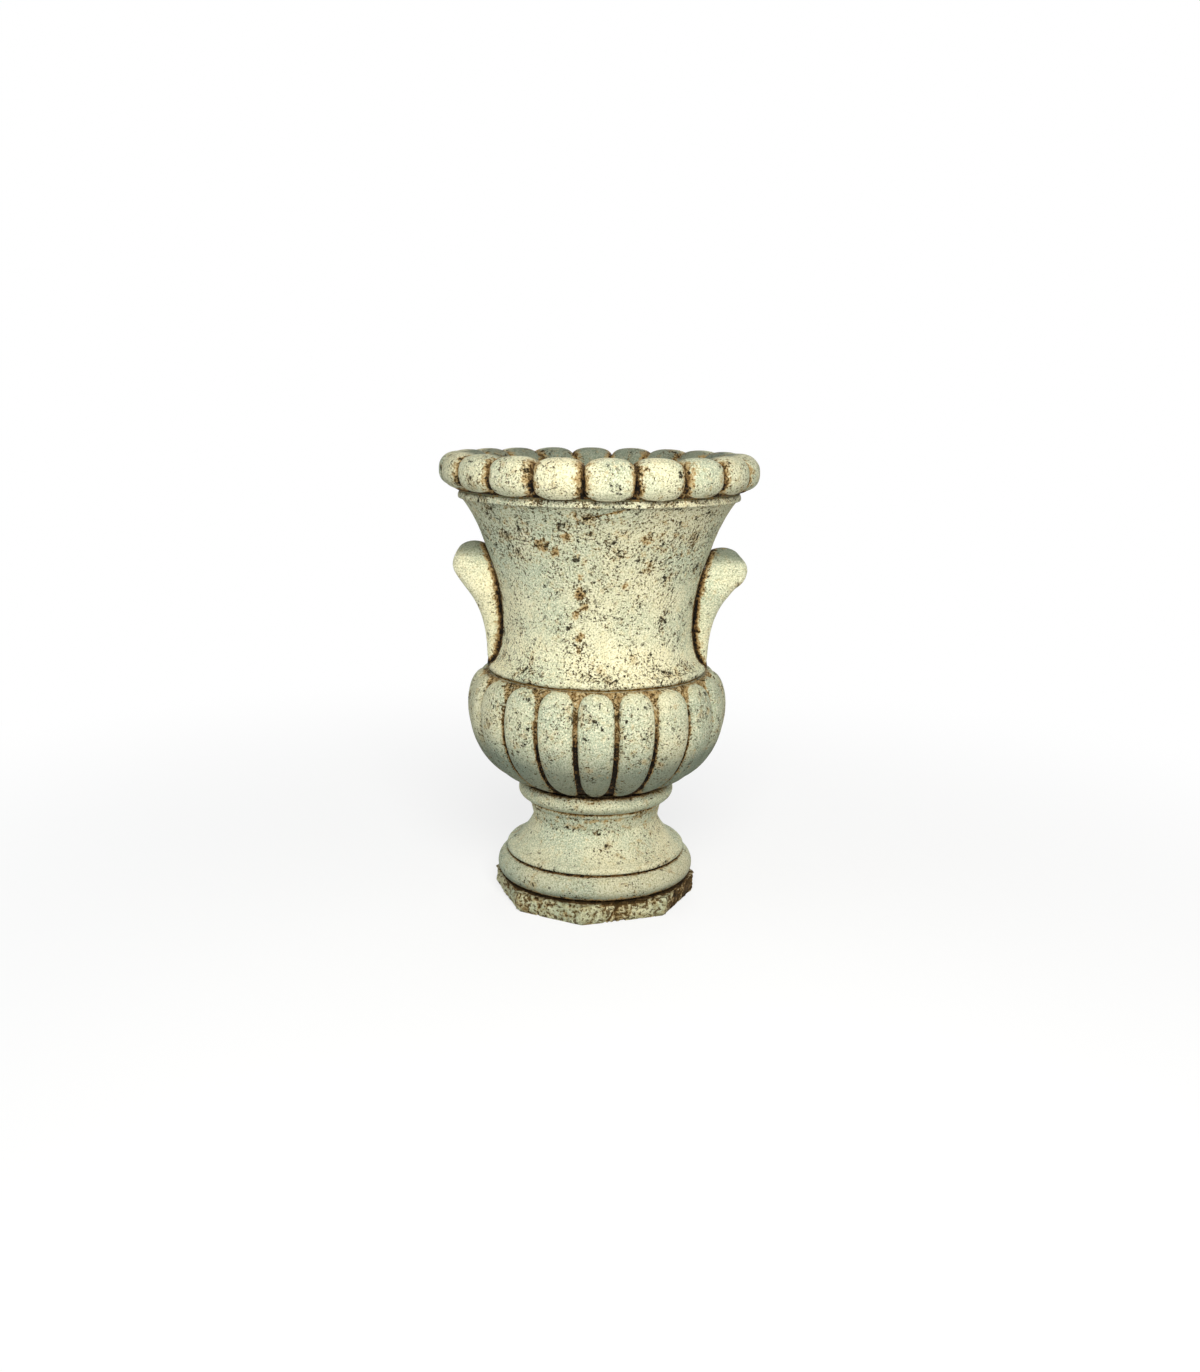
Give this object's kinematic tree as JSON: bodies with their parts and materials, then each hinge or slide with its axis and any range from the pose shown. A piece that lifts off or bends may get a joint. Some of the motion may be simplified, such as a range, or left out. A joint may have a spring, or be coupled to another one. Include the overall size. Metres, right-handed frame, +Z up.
{
  "type": "urn planter",
  "caption": "Cast-stone garden urn planter: beaded rim, flared bell with loop handles, gadrooned bowl, round moulded foot and rock-faced octagonal plinth, with a drained planting well.",
  "frame": {"origin": "centre of the plinth's underside, on the urn's axis and on the ground", "axes": "+Z up along the urn's axis, +X through the right handle as seen from the front, the front faces -Y"},
  "size_m": [0.4162, 0.4162, 0.5997],
  "materials": {
    "cast_stone": "sandy, pitted reconstituted stone with a brown patina in its crevices",
    "rough_stone": "rock-faced reconstituted stone",
    "bedding_mortar": "raked-back sand and cement mortar",
    "galvanised_steel": "dull zinc coating",
    "stainless_steel": "plain drawn bar",
    "seal_rubber": "matt black"
  },
  "bodies": {
    "root": {"plinth_slab": "rough_stone", "foot_pedestal": "cast_stone", "gadrooned_bowl": "cast_stone", "bell_body": "cast_stone", "rim_ring": "cast_stone", "handle_left": "cast_stone", "handle_right": "cast_stone", "plinth_mortar_bed": "bedding_mortar", "foot_mortar_bed": "bedding_mortar", "bowl_mortar_bed": "bedding_mortar", "rim_mortar_bed": "bedding_mortar", "handle_dowel_left_front": "stainless_steel", "handle_dowel_left_rear": "stainless_steel", "handle_dowel_right_front": "stainless_steel", "handle_dowel_right_rear": "stainless_steel", "tie_tube": "galvanised_steel", "lower_backnut": "galvanised_steel", "upper_backnut": "galvanised_steel", "lower_plate_washer": "galvanised_steel", "upper_plate_washer": "galvanised_steel", "rubber_seal": "seal_rubber"}
  },
  "joints": []
}
